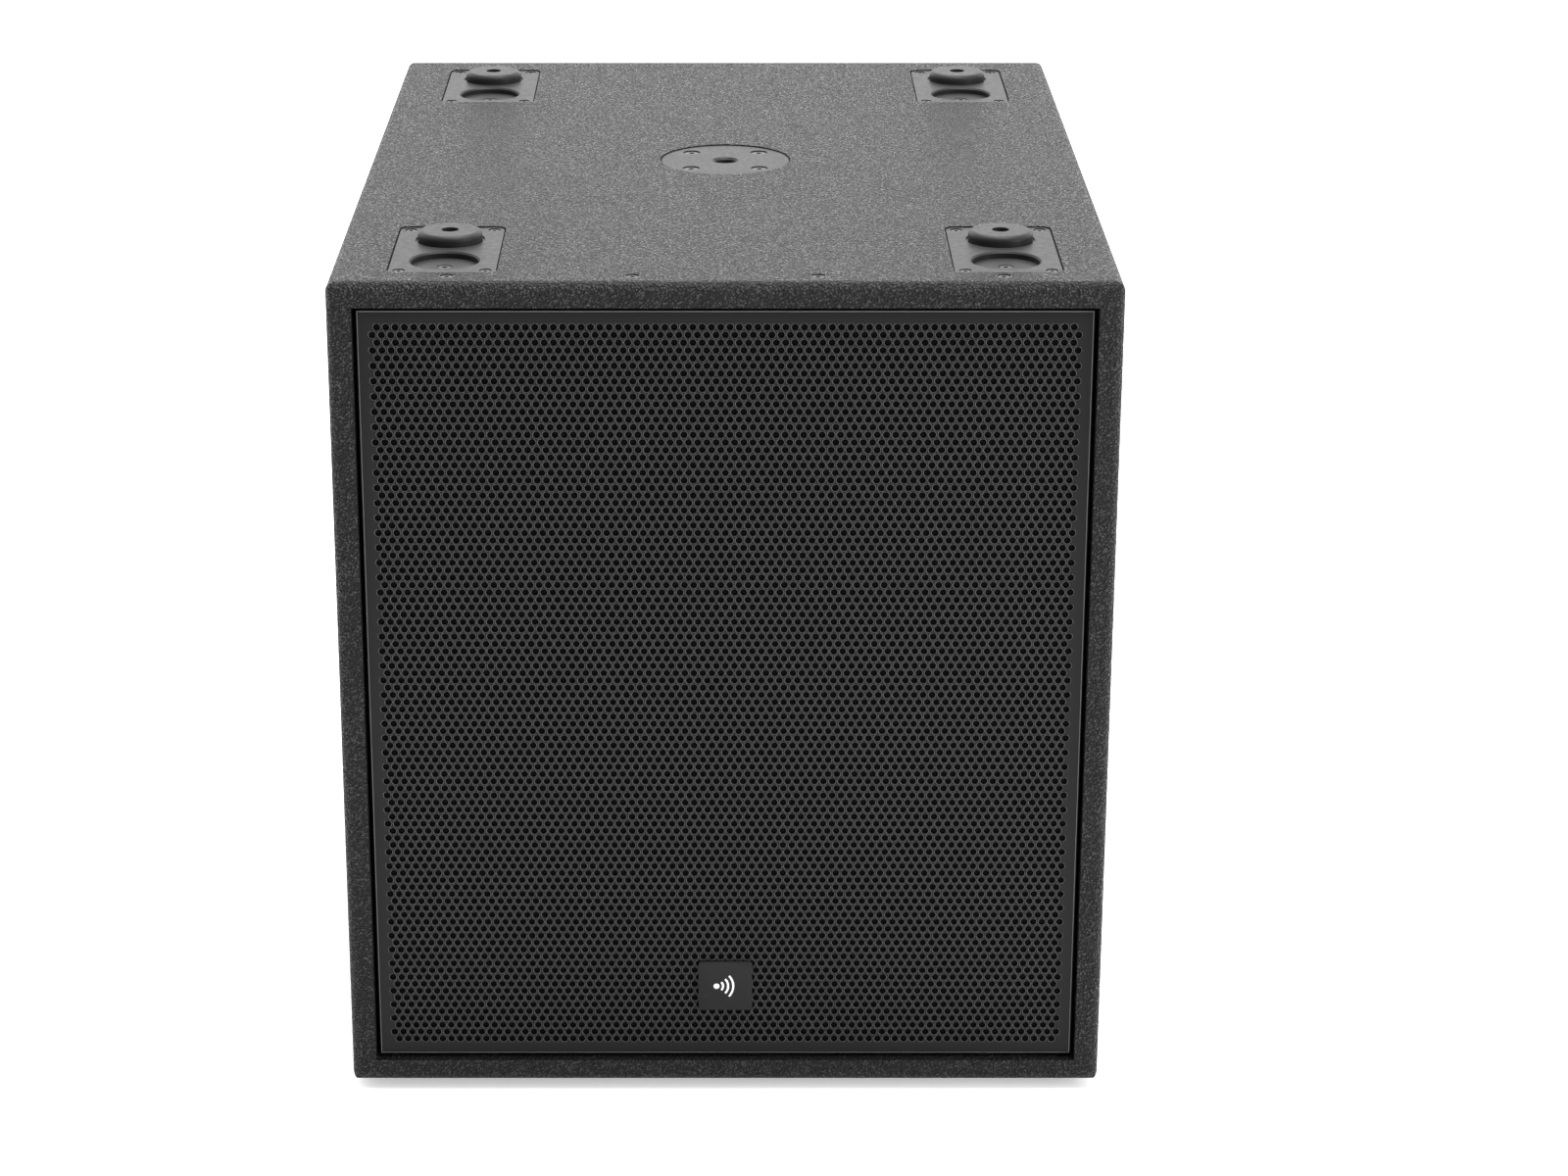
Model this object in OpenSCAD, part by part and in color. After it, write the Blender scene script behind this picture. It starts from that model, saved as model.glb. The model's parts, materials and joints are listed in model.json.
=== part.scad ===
// Subwoofer cabinet: birch plywood box, perforated steel grille, stacking corner
// plates top and bottom, M20 pole flange, recessed side handles, rear socket dish
// and one 18 inch driver over a slot port.
// Frame: +Z up, front faces -Y, origin on the floor under the middle of the box.

/* [Cabinet] */
// Outside width of the plywood box
cab_w = 558; // [540:1:600]
// Outside depth of the plywood box
cab_d = 745; // [700:1:800]
// Outside height of the plywood box, without the feet
cab_h = 618; // [600:1:660]
// Thickness of the outer plywood panels
ply = 18; // [16:1:20]
// Radius of the routed outer edges
edge_r = 8; // [5:0.5:10]
// How deep baffle and shelf sit in their grooves
groove = 6; // [3:1:8]

/* [Baffle and port] */
// From the front edge of the box back to the face of the baffle
baffle_set = 40; // [38:1:50]
// Height of the slot port
slot_h = 64; // [50:1:66]
// Thickness of the shelf above the port
shelf_t = 15; // [12:1:18]
// Length of the port shelf, front to back
shelf_l = 360; // [250:10:400]
// Height of the driver's centre above the middle of the box
driver_up = 36; // [33:0.5:38]

/* [Grille] */
// Thickness of the grille's steel sheet
grille_t = 1.2; // [1:0.1:1.5]
// How far the grille face lies behind the front edge of the box
grille_set = 5.5; // [3:0.5:8]
// Gap between the grille and the plywood around it
grille_gap = 2.2; // [1.5:0.1:3]
// Depth of the folded rim of the grille
grille_rim = 26; // [24:1:30]
// Thickness of the foam behind the grille
foam_t = 4; // [3:0.5:6]
// Side of the square badge
badge = 40; // [30:1:45]

/* [Stacking plates] */
// Width of a stacking plate
plate_w = 76; // [74:1:80]
// Length of a stacking plate
plate_l = 128; // [126:1:132]
// Height of a foot above the box
foot_h = 6.5; // [6:0.5:8]
// How deep the plate's face lies below the surface
plate_set = 0.8; // [0:0.1:1.2]
// Radius of a foot
foot_r = 23.5; // [22:0.5:23.5]
// Radius of a cup
cup_r = 24.2; // [24.2:0.1:24.5]
// Sideways distance of the plates from the middle
plate_x = 199.5; // [190:1:205]
// Distance of the front plates' centres from the front
plate_yf = 95; // [90:1:110]
// Distance of the rear plates' centres from the rear
plate_yr = 101; // [90:1:110]

/* [Pole flange] */
// Diameter of the pole flange
flange_d = 100; // [95:1:105]
// Radius of the plain wall that stands for the M20 thread
thread_r = 8.65; // [8.5:0.05:10]

// How deep the flange's face lies below the surface
flange_set = 0.8; // [0:0.1:1.2]

/* [Driver] */
// Radius of the driver's mounting flange
drv_r = 232.5; // [230:0.5:234]
// Radius of the bolt circle
bolt_r = 219; // [218:0.5:220]
// Radius of the baffle cut-out
cut_r = 209; // [209:0.5:211]
// Radius of the voice coil former
coil_r = 50; // [49.8:0.05:50]

/* [Handles] */
// Width of the handle flange, front to back
han_w = 200; // [190:1:210]
// Height of the handle flange
han_h = 124; // [118:1:130]
// Depth of the handle dish
han_d = 58; // [50:1:65]

/* [Hidden] */
$fn = 64;

zb = foot_h;                 // underside of the box
zt = foot_h + cab_h;         // top of the box
zm = foot_h + cab_h / 2;     // middle height
yf = -cab_d / 2;             // front edge
yr = cab_d / 2;              // rear face
xi = cab_w / 2 - ply;        // inside half width
yb = yf + baffle_set;        // face of the baffle
z_shelf = zb + ply + slot_h; // underside of the shelf
z_baf = z_shelf + shelf_t;   // lower edge of the baffle
zw = zm + driver_up;         // driver axis
gx = xi - grille_gap;        // grille half width
gz = cab_h / 2 - ply - grille_gap; // grille half height
screw_x = [-195, -65, 65, 195];
screw_y = yf + 21;
buffers = [[-173.5, 221.5], [173.5, 221.5], [-100, -194.5], [100, -194.5]];
fs_x = 26.6;                 // pole flange screws
ps_x = 30.5;                 // plate screws
ps_y = 57;
foot_y = 30;                 // foot and cup centres from the plate's middle
cup_d = foot_h - 1;          // depth of a cup, so a stacked box rests on its feet
foot_round = 4.2;            // radius of the foot's top edge
c_gap = 0.1;                 // radial play round a shank
seat_gap = 0.6;              // radial play round a countersunk head
function plate_cy(sy) = sy < 0 ? yf + plate_yf : yr - plate_yr;
brace_y = 130;
han_z = zm + 60;             // height of the handles
dish_z = zb + 190;           // height of the socket dish
dish_w = 150; dish_h = 100; dish_d = 16;
socket_x = 27;

// ---------- shared shapes ----------
module rrect(w, h, r) {
  square([w - 2 * r, h], center = true);
  square([w, h - 2 * r], center = true);
  for (sx = [-1, 1], sy = [-1, 1]) translate([sx * (w / 2 - r), sy * (h / 2 - r)]) circle(r);
}
// rounded envelope, one prism along each axis
module along_x(l) translate([-l / 2, 0, zm]) rotate([90, 0, 90]) linear_extrude(l) rrect(cab_d, cab_h, edge_r);
module along_y() translate([0, yr, zm]) rotate([90, 0, 0]) linear_extrude(cab_d) rrect(cab_w, cab_h, edge_r);
module along_z() translate([0, 0, zb]) linear_extrude(cab_h) rrect(cab_w, cab_d, edge_r);

// countersunk screw, its head just below z = 0, pointing down
module cs_screw(rh, rs, len, sock) {
  difference() {
    rotate_extrude() polygon([[0, -0.25], [rh - 0.3, -0.25], [rh, -0.4], [rh, -0.6], [rs, -0.6 - (rh - rs)], [rs, -len], [0, -len]]);
    translate([0, 0, -1.9]) cylinder(h = 3, r = sock, $fn = 6);
  }
}
module cs_hole(rh, rs, len) {
  translate([0, 0, -0.6]) cylinder(h = 3.4, r = rh + seat_gap);
  translate([0, 0, -0.6 - (rh - rs)]) cylinder(h = rh - rs, r1 = rs + c_gap, r2 = rh + c_gap);
  translate([0, 0, -len]) cylinder(h = len, r = rs + c_gap);
}
// pan or socket head screw, seat at z = 0, pointing down
module pan_screw(rh, hh, rs, len, sock) {
  difference() {
    union() { cylinder(h = hh, r = rh); translate([0, 0, -len]) cylinder(h = len, r = rs); }
    translate([0, 0, hh - hh * 0.6]) cylinder(h = hh, r = sock, $fn = 6);
  }
}
module tee_nut(rb, rt, l) {
  difference() {
    union() { cylinder(h = 1.5, r = rb + 5.5); translate([0, 0, 1.5]) cylinder(h = l, r = rb); }
    translate([0, 0, -1]) cylinder(h = l + 4, r = rt);
  }
}

// ---------- stacking plates ----------
module plate_pos(top) {
  for (sx = [-1, 1], sy = [-1, 1]) translate([sx * plate_x, plate_cy(sy), top ? zt : zb]) mirror([0, 0, top ? 0 : 1]) children();
}
// local frame: +Z out of the box, f = side of the foot along Y
module plate_pocket(f) {
  translate([0, 0, -plate_set - 3.2]) linear_extrude(6) rrect(plate_w + 2, plate_l + 2, 8);
  translate([0, -f * foot_y, -cup_d - 3.4]) cylinder(h = cup_d + 3.4, r = cup_r + 3);
  for (sx = [-1, 1], sy = [-1, 1]) translate([sx * ps_x, sy * ps_y, -11.8]) cylinder(h = 11.8, r = 2.1 + c_gap);
  translate([0, f * foot_y, -16]) cylinder(h = 16, r = 2.6 + c_gap);
  translate([0, -f * foot_y, -17]) cylinder(h = 17, r = 2.4 + c_gap);
}
module stack_plate(f) {
  difference() {
    union() {
      translate([0, 0, -plate_set - 3.2]) linear_extrude(3.2) rrect(plate_w, plate_l, 7);
      translate([0, -f * foot_y, -cup_d - 3.2]) cylinder(h = cup_d + 3.2 - plate_set - 0.1, r = cup_r + 2.4);
      translate([0, f * foot_y, 0]) rotate_extrude() polygon(concat([[0, -plate_set], [foot_r, -plate_set]],
        [for (a = [0:10:90]) [foot_r - foot_round + foot_round * cos(a), foot_h - foot_round + foot_round * sin(a)]], [[0, foot_h]]));
    }
    // channel round the foot's base
    translate([0, f * foot_y, -plate_set - 1.2]) difference() { cylinder(h = 1.21, r = foot_r + 1.6); translate([0, 0, -1]) cylinder(h = 4, r = foot_r); }
    // cup, with a broken rim
    translate([0, -f * foot_y, -cup_d]) cylinder(h = cup_d + 2, r = cup_r);
    translate([0, -f * foot_y, -plate_set - 1.2]) cylinder(h = 1.21, r1 = cup_r, r2 = cup_r + 1.2);
    // counterbore in the foot and its screw hole
    translate([0, f * foot_y, 0.5]) cylinder(h = foot_h + 2, r = 6.3);
    translate([0, f * foot_y, -5]) cylinder(h = 8, r = 2.6 + c_gap);
    // hollow under the foot
    translate([0, f * foot_y, -5]) difference() { cylinder(h = 9, r = foot_r - 3.5); translate([0, 0, -1]) cylinder(h = 12, r = 9); }
    translate([0, -f * foot_y, -cup_d]) cs_hole(4.8, 2.4, 6);
    for (sx = [-1, 1], sy = [-1, 1]) translate([sx * ps_x, sy * ps_y, -plate_set - 0.3]) cs_hole(3.8, 2.1, 6);
  }
}
module one_plate(sx, sy, top) color([0.16, 0.16, 0.165])
  translate([sx * plate_x, plate_cy(sy), top ? zt : zb]) mirror([0, 0, top ? 0 : 1]) stack_plate(top ? 1 : -1);
module rim_screws(top) color([0.1, 0.1, 0.1]) plate_pos(top) for (sx = [-1, 1], sy = [-1, 1]) translate([sx * ps_x, sy * ps_y, -plate_set - 0.3]) cs_screw(3.8, 2.1, 10.2, 1.6);
module foot_screws(top) color([0.1, 0.1, 0.1]) plate_pos(top) translate([0, (top ? 1 : -1) * foot_y, 0.5]) pan_screw(5.2, 2.8, 2.6, 16, 1.9);
module cup_screws(top) color([0.1, 0.1, 0.1]) plate_pos(top) translate([0, (top ? -1 : 1) * foot_y, -cup_d]) cs_screw(4.8, 2.4, 9, 1.9);

// ---------- plywood ----------
module screw_cup_hole() { // countersunk cup for a grille screw, local z = 0 at the face
  translate([0, 0, -3.4]) cylinder(h = 6, r = 6.5);
  translate([0, 0, -ply - 1]) cylinder(h = ply + 2, r = 2.9);
}
module top_panel() color([0.2, 0.2, 0.2]) difference() {
  intersection() {
    translate([-xi, yf - 1, zt - ply]) cube([2 * xi, cab_d + 2, ply + 1]);
    along_x(cab_w + 10);
  }
  plate_pos(true) plate_pocket(1);
  translate([0, 0, zt - flange_set - 5]) cylinder(h = 10, r = flange_d / 2 + 1.1);
  translate([0, 0, zt - ply - 1]) cylinder(h = ply, r = 19);
  for (sx = [-1, 1], sy = [-1, 1]) translate([sx * fs_x, sy * fs_x, zt - ply - 1]) cylinder(h = ply, r = 4.3);
  for (x = screw_x) translate([x, screw_y, zt]) screw_cup_hole();
  translate([-xi - 1, yb, zt - ply - 1]) cube([2 * xi + 2, ply, groove + 1]);
}
module bottom_panel() color([0.2, 0.2, 0.2]) difference() {
  intersection() {
    translate([-xi, yf - 1, zb - 1]) cube([2 * xi, cab_d + 2, ply + 1]);
    along_x(cab_w + 10);
  }
  plate_pos(false) plate_pocket(-1);
  for (x = screw_x) translate([x, screw_y, zb]) mirror([0, 0, 1]) screw_cup_hole();
}
module side_panel(s) color([0.2, 0.2, 0.2]) difference() {
  intersection() {
    translate([s > 0 ? xi : -cab_w / 2 - 1, yf - 1, zb - 1]) cube([ply + 1, cab_d + 2, cab_h + 2]);
    along_x(cab_w + 10);
    along_y();
    along_z();
  }
  // grooves for the baffle and the shelf
  translate([s > 0 ? xi - 1 : -xi - groove, yb, z_baf]) cube([groove + 1, ply, zt - ply + groove - z_baf]);
  translate([s > 0 ? xi - 1 : -xi - groove, yb, z_shelf]) cube([groove + 1, shelf_l, shelf_t]);
  // handle: shallow seat and through cut-out
  translate([s > 0 ? cab_w / 2 - 3 : -cab_w / 2 - 5, 0, han_z]) rotate([90, 0, 90]) linear_extrude(8) rrect(han_w + 1.6, han_h + 1.6, 14.8);
  translate([s > 0 ? xi - 1 : -cab_w / 2 - 1, 0, han_z]) rotate([90, 0, 90]) linear_extrude(ply + 2) rrect(han_w - 28, han_h - 22, 12);
  for (a = [-1, 1], b = [-1, 1]) translate([s > 0 ? cab_w / 2 - 15 : -cab_w / 2 - 1, a * (han_w / 2 - 7), han_z + b * (han_h / 2 - 16)]) rotate([0, 90, 0]) cylinder(h = 16, r = 2.1 + c_gap);
}
module rear_panel() color([0.2, 0.2, 0.2]) difference() {
  translate([-xi, yr - ply, zb + ply]) cube([2 * xi, ply, cab_h - 2 * ply]);
  translate([0, yr + 2, dish_z]) rotate([90, 0, 0]) linear_extrude(4.5) rrect(dish_w + 1.6, dish_h + 1.6, 8.8);
  translate([0, yr + 2, dish_z]) rotate([90, 0, 0]) linear_extrude(ply + 6) rrect(dish_w - 28, dish_h - 28, 7);
  for (a = [-1, 1], b = [-1, 1]) translate([a * (dish_w / 2 - 7), yr + 1, dish_z + b * (dish_h / 2 - 7)]) rotate([90, 0, 0]) cylinder(h = 15, r = 1.75 + c_gap);
}
module front_baffle() color([0.09, 0.09, 0.09]) difference() {
  translate([-xi - groove, yb, z_baf]) cube([2 * (xi + groove), ply, zt - ply + groove - z_baf]);
  translate([0, yb - 1, zw]) rotate([-90, 0, 0]) cylinder(h = ply + 2, r = cut_r, $fn = 96);
  for (k = [0:7]) translate([bolt_r * sin(k * 45 + 22.5), yb - 1, zw + bolt_r * cos(k * 45 + 22.5)]) rotate([-90, 0, 0]) cylinder(h = ply + 2, r = 4.3);
}
module port_shelf() color([0.09, 0.09, 0.09]) translate([-xi - groove, yb, z_shelf]) cube([2 * (xi + groove), shelf_l, shelf_t]);
module port_divider() color([0.09, 0.09, 0.09]) translate([-ply / 2, yb + 10, zb + ply]) cube([ply, shelf_l - 30, slot_h]);
module window_brace() color([0.72, 0.56, 0.36]) difference() {
  translate([-xi, brace_y, zb + ply]) cube([2 * xi, ply, cab_h - 2 * ply]);
  for (sx = [-1, 1], sz = [-1, 1]) translate([sx * (xi / 2 + 6), brace_y + ply + 1, zm + sz * ((cab_h / 2 - ply) / 2 + 6)])
    rotate([90, 0, 0]) linear_extrude(ply + 2) rrect(xi - 92, cab_h / 2 - ply - 92, 30);
}

// ---------- grille ----------
module grille_sheet() color([0.13, 0.13, 0.13]) difference() {
  intersection() {
    translate([-gx - 1, yf + grille_set, zm - gz - 1]) cube([2 * gx + 2, grille_rim, 2 * gz + 2]);
    // the folded edge is rounded along both directions
    translate([0, yf + grille_set + 50, zm]) rotate([90, 0, 90]) translate([0, 0, -gx - 5]) linear_extrude(2 * gx + 10) rrect(100, 2 * gz, 2);
    translate([0, yf + grille_set + 50, zm - gz - 5]) linear_extrude(2 * gz + 10) rrect(2 * gx, 100, 2);
  }
  translate([-gx + grille_t, yf + grille_set + grille_t, zm - gz + grille_t]) cube([2 * (gx - grille_t), grille_rim + 2, 2 * (gz - grille_t)]);
  for (x = screw_x, s = [-1, 1]) translate([x, screw_y, zm + s * gz - 4]) cylinder(h = 8, r = 3.6);
}
module grille_screws() color([0.08, 0.08, 0.08]) for (x = screw_x, s = [0, 1])
  translate([x, screw_y, s ? zt - 0.6 : zb + 0.6]) mirror([0, 0, 1 - s]) cs_screw(4.6, 2.4, ply + grille_gap + 9, 2);
module grille_screw_cups() color([0.08, 0.08, 0.08]) for (x = screw_x, s = [0, 1])
  translate([x, screw_y, s ? zt : zb]) mirror([0, 0, 1 - s]) difference() {
    translate([0, 0, -3.4]) rotate_extrude() polygon([[0, 0], [6.2, 0], [6.2, 2.9], [5.8, 3.3], [0, 3.3]]);
    translate([0, 0, -0.6]) cs_hole(4.6, 2.4, 8);
    translate([0, 0, -0.6]) cylinder(h = 2, r1 = 4.7, r2 = 6);
  }
module grille_rivet_nuts() color([0.6, 0.6, 0.58]) for (x = screw_x, s = [0, 1])
  translate([x, screw_y, s ? zm + gz : zm - gz]) mirror([0, 0, 1 - s]) difference() {
    union() { translate([0, 0, -10]) cylinder(h = 10, r = 3.5); cylinder(h = 0.8, r = 5); translate([0, 0, -grille_t - 1.4]) cylinder(h = 1.4, r = 4.8); }
    translate([0, 0, -11]) cylinder(h = 14, r = 2.5);
  }
module grille_foam() color([0.05, 0.05, 0.05]) translate([-gx + 2, yf + grille_set + grille_t, zm - gz + 2]) cube([2 * gx - 4, foam_t, 2 * gz - 4]);
module grille_buffers() color([0.35, 0.35, 0.35]) for (b = buffers)
  translate([b[0], yf + grille_set + grille_t + foam_t, zm + b[1]]) rotate([-90, 0, 0]) cylinder(h = baffle_set - grille_set - grille_t - foam_t, r = 12.5);
module badge_plate() color([0.12, 0.12, 0.12]) translate([0, yf + grille_set, zm - 231.5]) rotate([90, 0, 0]) {
  linear_extrude(0.9) rrect(badge - 3, badge - 3, 1.5);
  translate([0, 0, 0.9]) linear_extrude(1.4) rrect(badge, badge, 2.5);
}

// ---------- pole flange ----------
module pole_flange() color([0.17, 0.17, 0.17]) difference() {
  union() {
    translate([0, 0, zt - flange_set - 5]) cylinder(h = 5, r = flange_d / 2, $fn = 96);
    translate([0, 0, zt - 40]) cylinder(h = 36, r = 18.5);
  }
  translate([0, 0, zt - 36]) cylinder(h = 40, r = thread_r);
  translate([0, 0, zt - flange_set - 1.75]) cylinder(h = 1.75, r1 = thread_r, r2 = thread_r + 1.75);
  translate([0, 0, zt - flange_set - 0.001]) cylinder(h = 1, r = thread_r + 1.75);
  for (sx = [-1, 1], sy = [-1, 1]) translate([sx * fs_x, sy * fs_x, zt - flange_set - 0.5]) cs_hole(6, 3, 8);
}
module pole_flange_screws() color([0.08, 0.08, 0.08]) for (sx = [-1, 1], sy = [-1, 1]) translate([sx * fs_x, sy * fs_x, zt - flange_set - 0.5]) cs_screw(6, 3, 23, 2.3);
module pole_flange_tee_nuts() color([0.6, 0.6, 0.58]) for (sx = [-1, 1], sy = [-1, 1]) translate([sx * fs_x, sy * fs_x, zt - ply - 1.5]) tee_nut(4.2, 3.1, 9);

// ---------- handles ----------
module handle(s) color([0.1, 0.1, 0.1]) translate([s * cab_w / 2, 0, han_z]) rotate([90, 0, s > 0 ? 90 : -90]) difference() {
  // local: X along the depth, Y up, Z out of the box
  union() {
    difference() {
      union() {
        translate([0, 0, -3]) linear_extrude(3) rrect(han_w, han_h, 14);
        translate([0, 0, -han_d]) linear_extrude(han_d - 1) rrect(han_w - 30, han_h - 24, 11);
      }
      translate([0, 0, -han_d + 2.6]) linear_extrude(han_d) rrect(han_w - 35.2, han_h - 29.2, 8.4);
    }
    // grip bar across the dish, its face flush with the flange
    translate([-han_w / 2 + 16.5, 0, -13]) rotate([0, 90, 0]) cylinder(h = han_w - 33, r = 12.5);
  }
  for (a = [-1, 1], b = [-1, 1]) translate([a * (han_w / 2 - 7), b * (han_h / 2 - 16), 0]) cs_hole(4, 2.1, 6);
}
module handle_screws() color([0.08, 0.08, 0.08]) for (s = [-1, 1]) translate([s * cab_w / 2, 0, han_z]) rotate([90, 0, s > 0 ? 90 : -90])
  for (a = [-1, 1], b = [-1, 1]) translate([a * (han_w / 2 - 7), b * (han_h / 2 - 16), 0]) cs_screw(4, 2.1, 14.5, 1.5);

// ---------- socket dish at the rear ----------
module dish_at() translate([0, yr, dish_z]) rotate([90, 0, 180]) children(); // local Z out of the rear, Y up
module connector_dish() color([0.1, 0.1, 0.1]) dish_at() difference() {
  union() {
    translate([0, 0, -2.5]) linear_extrude(2.5) rrect(dish_w, dish_h, 8);
    translate([0, 0, -dish_d - 2.5]) linear_extrude(dish_d + 1) rrect(dish_w - 30, dish_h - 30, 6);
  }
  translate([0, 0, -dish_d]) linear_extrude(dish_d + 1) rrect(dish_w - 35, dish_h - 35, 4);
  for (s = [-1, 1]) translate([s * socket_x, 0, -dish_d - 4]) cylinder(h = 8, r = 12.1);
  for (s = [-1, 1], a = [-1, 1]) translate([s * socket_x + a * 9.5, a * 12, -dish_d - 4]) cylinder(h = 8, r = 1.6);
  for (a = [-1, 1], b = [-1, 1]) translate([a * (dish_w / 2 - 7), b * (dish_h / 2 - 7), 0]) cs_hole(3.6, 1.75, 6);
}
module connector_dish_screws() color([0.08, 0.08, 0.08]) dish_at()
  for (a = [-1, 1], b = [-1, 1]) translate([a * (dish_w / 2 - 7), b * (dish_h / 2 - 7), 0]) cs_screw(3.6, 1.75, 13, 1.3);
module speaker_socket(s) color([0.07, 0.07, 0.08]) dish_at() translate([s * socket_x, 0, -dish_d]) difference() {
  union() {
    linear_extrude(3.2) rrect(26, 31, 3);
    translate([0, 0, -24]) cylinder(h = 26, r = 12);
  }
  difference() {
    translate([0, 0, -16]) cylinder(h = 24, r = 10.4);
    translate([0, 0, -17]) cylinder(h = 19, r = 6.6);
  }
  translate([0, 0, -13]) cylinder(h = 20, r = 4.2);
  translate([0, 10.4, -10]) cube([3.4, 2.4, 40], center = true);
  for (a = [-1, 1]) translate([a * 9.5, a * 12, -1]) cylinder(h = 8, r = 1.65);
}
module socket_screws() color([0.5, 0.5, 0.5]) dish_at() for (s = [-1, 1], a = [-1, 1]) translate([s * socket_x + a * 9.5, a * 12, -dish_d + 3.2]) pan_screw(2.6, 1.9, 1.5, 9, 0.9);

// cable from the sockets over the brace and along the shelf to the driver terminals, a swept tube
cable_r = 3.5;
cable_pts = [[-27, 332.5, 196.5], [-27, 322, 196.5], [-28, 311, 193], [-31, 300, 184], [-36, 289, 172], [-43, 277, 157],
  [-51, 263, 141], [-59, 247, 125], [-66, 229, 110], [-72, 210, 97], [-77, 190, 86], [-80, 170, 77], [-81, 152, 71],
  [-81, 139, 69.5], [-81, 126, 70], [-80, 108, 74], [-78, 90, 81], [-76, 72, 90], [-74, 56, 99], [-72, 42, 106], [-70, 28, 109],
  [-68, 12, 108], [-66, -8, 107.3], [-62, -32, 107.2], [-57, -56, 107.2], [-51, -80, 107.2], [-45, -104, 107.2],
  [-38, -128, 107.3], [-31, -150, 109], [-24, -170, 113.5], [-17, -188, 121], [-11, -203, 132], [-6, -215, 146],
  [-3, -224, 161], [-1, -230, 176], [0, -233.5, 190], [0, -234.5, 201], [0, -234.5, 210]];
// one lead from the terminals through a basket window to the back of the cone
lead_pts = [[10, -136, -88], [10, -136, -80], [16, -144, -70], [27, -153, -62], [38, -154, -55], [46, -146, -50],
  [48, -134, -47], [46, -121, -44], [42, -109, -42], [38, -99, -40], [36, -93, -38.4]];
function unit(v) = v / norm(v);
function tangent(p, i) = unit(p[min(i + 1, len(p) - 1)] - p[max(i - 1, 0)]);
module tube_along(p, r, n = 8) {
  m = len(p);
  ring = [for (i = [0:m - 1]) let(t = tangent(p, i), v = unit(cross(t, [1, 0, 0])), u = cross(v, t)) for (k = [0:n - 1]) p[i] + r * (cos(360 * k / n) * u + sin(360 * k / n) * v)];
  faces = concat([for (i = [0:m - 2], k = [0:n - 1]) [i * n + k, i * n + (k + 1) % n, (i + 1) * n + (k + 1) % n, (i + 1) * n + k]],
    [[for (k = [n - 1:-1:0]) k]], [[for (k = [0:n - 1]) (m - 1) * n + k]]);
  polyhedron(points = ring, faces = [for (f = faces) [for (j = [len(f) - 1:-1:0]) f[j]]], convexity = 6);
}
module internal_cable() color([0.12, 0.12, 0.12]) tube_along(cable_pts, cable_r);

// ---------- driver, local +Z towards the front, z = 0 on the baffle face ----------
module drv() translate([0, yb, zw]) rotate([90, 0, 0]) children();
module bolt_ring() for (k = [0:7]) rotate([0, 0, k * 45 + 22.5]) translate([0, bolt_r, 0]) children();
module driver_basket() color([0.14, 0.14, 0.14]) drv() difference() {
  rotate_extrude($fn = 96) polygon([[199, 10], [drv_r, 10], [drv_r, 2], [208, 2], [208, -6], [131, -78], [122, -118], [58, -118],
    [58, -112], [112, -112], [117, -81], [114, -77], [114, -73], [124.5, -73], [199, -4]]);
  difference() {
    rotate_extrude($fn = 96) polygon([[205.6, -21.9], [148.6, -75.2], [133.6, -59.1], [190.6, -5.9]]);
    for (k = [0:7]) rotate([0, 0, k * 45]) translate([0, -14, -130]) cube([260, 28, 160]);
  }
  bolt_ring() translate([0, 0, -2]) cylinder(h = 16, r = 3.5);
}
module driver_rear_gasket() color([0.05, 0.05, 0.05]) drv() difference() {
  cylinder(h = 2, r = drv_r - 0.5, $fn = 96);
  translate([0, 0, -1]) cylinder(h = 4, r = 210, $fn = 96);
  bolt_ring() translate([0, 0, -1]) cylinder(h = 4, r = 3.8);
}
module driver_front_gasket() color([0.05, 0.05, 0.05]) drv() difference() {
  translate([0, 0, 10.8]) cylinder(h = 3.2, r = 211.5, $fn = 96);
  translate([0, 0, 9]) cylinder(h = 6, r = 200, $fn = 96);
}
// surround: two half rolls between the cone edge and the frame
function roll(r) = let(u = (r - 178) / 21) 8.4 + 1.7 * u + 5 * abs(sin(360 * u));
module driver_surround() color([0.06, 0.06, 0.06]) drv() rotate_extrude($fn = 96) polygon(concat(
  [[174, 7.6], [178, 7.6]], [for (i = [1:13]) [178 + 21 * i / 14, roll(178 + 21 * i / 14) - 0.4]], [[199.2, 10], [211.5, 10], [211.5, 10.8], [199, 10.8]],
  [for (i = [13:-1:1]) [178 + 21 * i / 14, roll(178 + 21 * i / 14) + 0.4]], [[178, 8.6], [174, 8.6]]));
function wave(r) = -72.4 + 3 * sin(360 * (r - 56) / 11.6);
module driver_spider() color([0.75, 0.6, 0.35]) drv() rotate_extrude($fn = 96) polygon(concat(
  [[coil_r + 0.1, -72.9], [56, -72.9]], [for (i = [1:39]) let(r = 56 + 58 * i / 40) [r, wave(r) - 0.35]], [[114, -73], [123, -73], [123, -72.2], [114, -72.2]],
  [for (i = [39:-1:1]) let(r = 56 + 58 * i / 40) [r, wave(r) + 0.35]], [[56, -71.9], [coil_r + 0.1, -71.9]]));
function cone_z(r) = -58 + (r - 50.1) * 0.5095;
module driver_cone() color([0.05, 0.05, 0.05]) drv() rotate_extrude($fn = 96) polygon([[coil_r + 0.1, -62], [coil_r + 0.1, -58], [176.6, cone_z(176.6)],
  [178, 7.5], [178, 5.6], [176.8, cone_z(176.8) - 1.5], [52.5, -62]]);
module driver_dust_cap() color([0.04, 0.04, 0.04]) drv() rotate_extrude($fn = 96) polygon(concat(
  [[0, -31], [0, -30]], [for (a = [4:4:32]) [124 * sin(a), -154 + 124 * cos(a)]], [[69.5, -47.2], [70, -47.4], [66, -49.4], [64.8, -49.4]],
  [for (a = [30:-4:6]) [123 * sin(a), -154 + 123 * cos(a)]]));
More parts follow.
